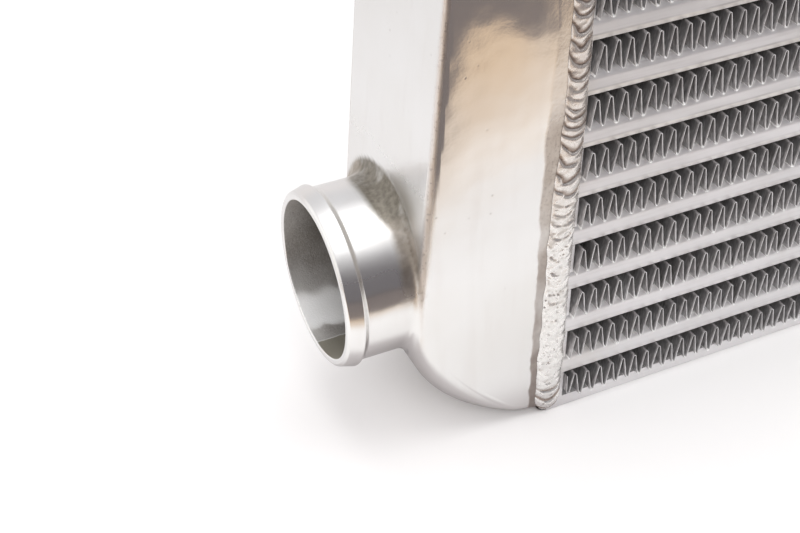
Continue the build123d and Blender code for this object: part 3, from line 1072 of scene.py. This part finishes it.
def build_stage():
    """White floor for the camera, which keeps the object's shadow; to reflections it is
    white paper that ends in front of the object, with a dark floor beyond."""
    mesh = bpy.data.meshes.new("floor")
    s = FLOOR_SIZE
    mesh.from_pydata([(-s, -s, 0), (s, -s, 0), (s, s, 0), (-s, s, 0)], [], [(0, 1, 2, 3)])
    floor = bpy.data.objects.new("floor", mesh)
    bpy.context.scene.collection.objects.link(floor)
    floor.location.z = -FLOOR_DROP
    material = bpy.data.materials.new("floor_paper")
    material.use_nodes = True
    material.node_tree.nodes.clear()
    t = Tree(material.node_tree, "ShaderNodeNewGeometry", "Position")
    x, y, _ = t.split()
    past = t.minus(y, torn_edge(t, x))
    ragged = t.math("MULTIPLY_ADD", t.noise(60, 2), RAG, past)
    on_paper = t.between(ragged, RAG_START, RAG_END)
    ground = t.mix(on_paper, DARK_FLOOR, paper_color(t, x, y))
    lit = t.mix(t.within(y, *LIT_Y), ground, PAPER_LIT)
    # under the tanks the paper lies in its own shade
    shade = t.times(t.within(t.absolute(x), *SHADE_X), t.within(y, *SHADE_Y))
    reflected = t.mix(shade, lit, PAPER_SHADED)
    camera = t.to_camera()
    diffuse = t.add("ShaderNodeBsdfDiffuse")
    t.link(t.mix(camera, reflected, PAPER_SEEN), diffuse.inputs["Color"])
    glow = t.add("ShaderNodeEmission")
    t.link(WHITE, glow.inputs["Color"])
    glow.inputs["Strength"].default_value = 1.0
    # the camera sees the floor fade into the white background far from the object
    distance = t.add("ShaderNodeVectorMath", operation="LENGTH")
    t.link(t.position, distance.inputs[0])
    far = t.between(distance.outputs["Value"], FAR_START, FAR_END)
    share = t.math("MAXIMUM", t.straight(shade, 0.0, 1.0, FLOOR_GLOW, 0.0), far)
    both = t.add("ShaderNodeMixShader")
    t.link(t.times(camera, share), both.inputs[0])
    t.link(diffuse.outputs[0], both.inputs[1])
    t.link(glow.outputs[0], both.inputs[2])
    t.link(both.outputs[0], t.add("ShaderNodeOutputMaterial").inputs["Surface"])
    mesh.materials.append(material)


def build_world():
    """White background for the camera, and a room of soft light with a dim front."""
    world = bpy.data.worlds.new("room")
    bpy.context.scene.world = world
    world.use_nodes = True
    world.node_tree.nodes.clear()
    t = Tree(world.node_tree, "ShaderNodeTexCoord", "Generated")
    x, y, z = t.split()
    sky = t.mix(t.between(z, *SKY_LOW_Z), SKY, SKY_LOW)
    sky = t.mix(t.between(x, *SKY_LEFT_X), sky, SKY_LEFT)
    # a dim room in front of the object, from the horizon to half way up
    dim = t.times(t.between(y, *DIM_Y), t.between(z, *DIM_Z))
    room = t.mix(dim, sky, DIM_ROOM)
    background = t.add("ShaderNodeBackground")
    t.link(t.mix(t.to_camera(), room, WHITE), background.inputs["Color"])
    background.inputs["Strength"].default_value = 1.0
    t.link(background.outputs[0], t.add("ShaderNodeOutputWorld").inputs["Surface"])


def area_lamp(name, place, target, size, power):
    data = bpy.data.lights.new(name, "AREA")
    data.shape = "RECTANGLE"
    data.size, data.size_y = size
    data.energy = power
    lamp = bpy.data.objects.new(name, data)
    lamp.location = place
    lamp.rotation_euler = (Vector(target) - Vector(place)).to_track_quat("-Z", "Y").to_euler()
    bpy.context.scene.collection.objects.link(lamp)
    return lamp


# The camera that was fitted to the photograph.
SENSOR = 36.0
FOCAL_PIXELS, PHOTO_WIDTH = 1375.7285, 800
CAMERA_PLACE = Vector((-323.89, -320.715, 330.406)) * MM
CAMERA_RIGHT = Vector((0.90805, -0.418783, -0.00806))
CAMERA_DOWN = Vector((-0.263689, -0.556598, -0.787824))
CAMERA_FORWARD = Vector((0.325442, 0.717509, -0.615847))


def build_camera():
    data = bpy.data.cameras.new("camera")
    data.sensor_fit = "HORIZONTAL"
    data.sensor_width = SENSOR
    data.lens = FOCAL_PIXELS / PHOTO_WIDTH * SENSOR
    data.clip_start, data.clip_end = 0.01, 50
    camera = bpy.data.objects.new("camera", data)
    turn = Matrix((CAMERA_RIGHT, -CAMERA_DOWN, -CAMERA_FORWARD)).transposed().to_4x4()
    camera.matrix_world = Matrix.Translation(CAMERA_PLACE) @ turn
    bpy.context.scene.collection.objects.link(camera)
    bpy.context.scene.camera = camera


# ---------------------------------------------------------------- the whole

shape = tank_shape()
for side, word, seed in ((-1, "left", 11), (1, "right", 71)):
    build_tank(f"tank_{word}", f"end_tank_{word}", side, shape)
    build_weld(f"weld_{word}", f"tank_weld_{word}", side, seed)
for row in range(1, AIR_ROWS + 1):
    build_fins(row)
for row in range(1, CHARGE_ROWS + 1):
    build_band(row)
# the side plates, closing bars and turbulators show as they are
for name, node in nodes.items():
    if not node.hide_render:
        node.data.materials.clear()
        node.data.materials.append(FIN if name.startswith("turbulator") else BAR)

build_stage()
build_world()
area_lamp(
    "overhead", place=(-0.05, -0.05, 1.1), target=(-0.05, -0.05, 0), size=(0.9, 0.95), power=6.0
)
fill = area_lamp(
    "fill", place=(-0.25, -1.3, 1.0), target=(-0.05, -0.15, 0), size=(1.4, 1.0), power=11.0
)
fill.visible_glossy = False
build_camera()
bpy.context.scene.view_settings.view_transform = "Standard"
